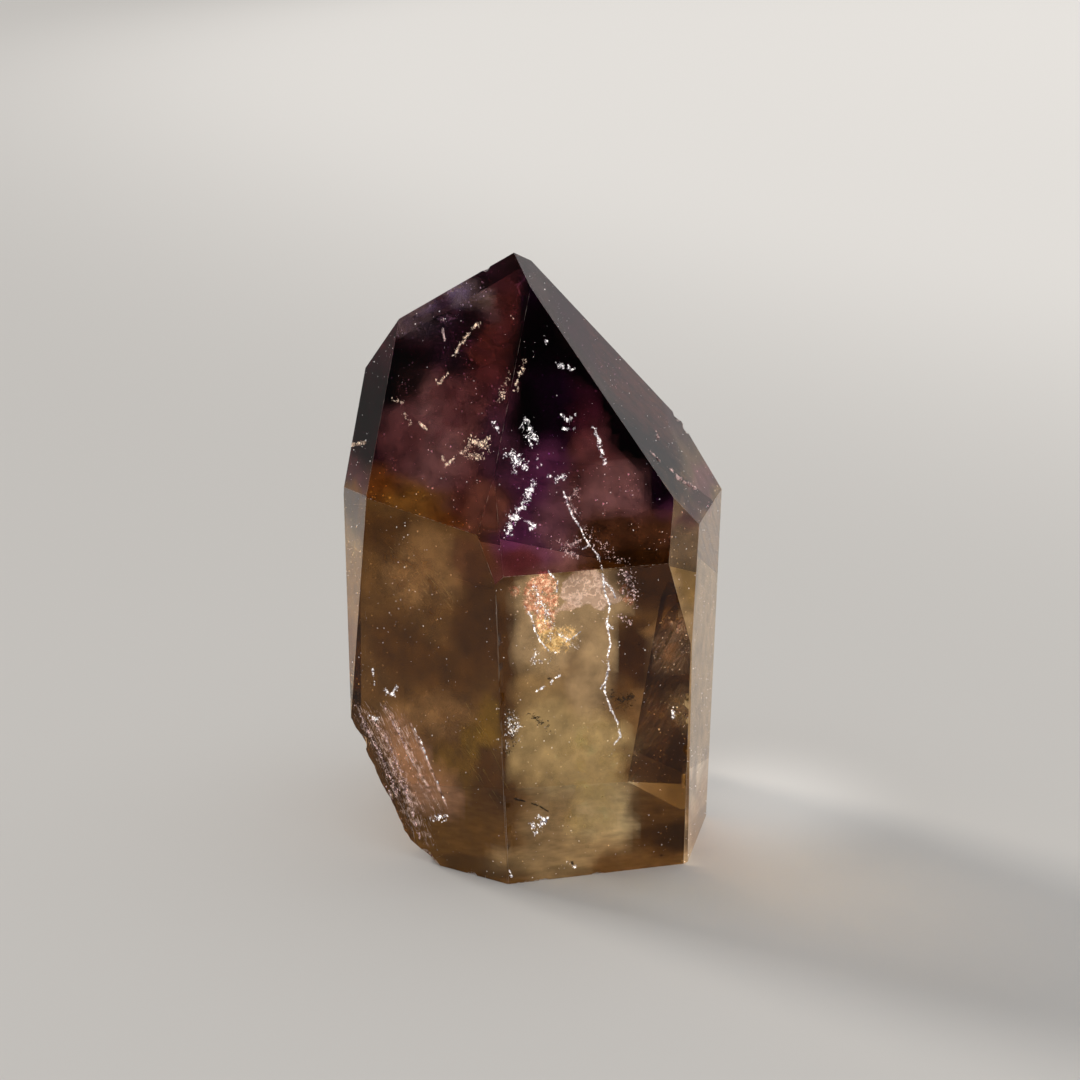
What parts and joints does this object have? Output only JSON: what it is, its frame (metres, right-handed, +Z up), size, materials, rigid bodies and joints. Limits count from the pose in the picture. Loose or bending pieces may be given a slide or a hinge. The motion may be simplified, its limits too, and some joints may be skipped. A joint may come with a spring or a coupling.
{
  "type": "cacoxenite quartz point",
  "caption": "Polished free-standing crystal point of smoky amethyst quartz with a slanting six-sided tip, a rough unpolished flank low on the left, and a flat sawn foot.",
  "frame": {"origin": "middle of the bounding box, on the plane of the sawn foot", "axes": "+Z up towards the tip, -Y towards the two large front facets, +X to the viewer's right"},
  "size_m": [0.059, 0.0548, 0.0914],
  "materials": {
    "quartz": "polished, see-through smoky brown below and purple above, with one rough unpolished flank"
  },
  "bodies": {
    "root": {"quartz_point": "quartz"}
  },
  "joints": []
}
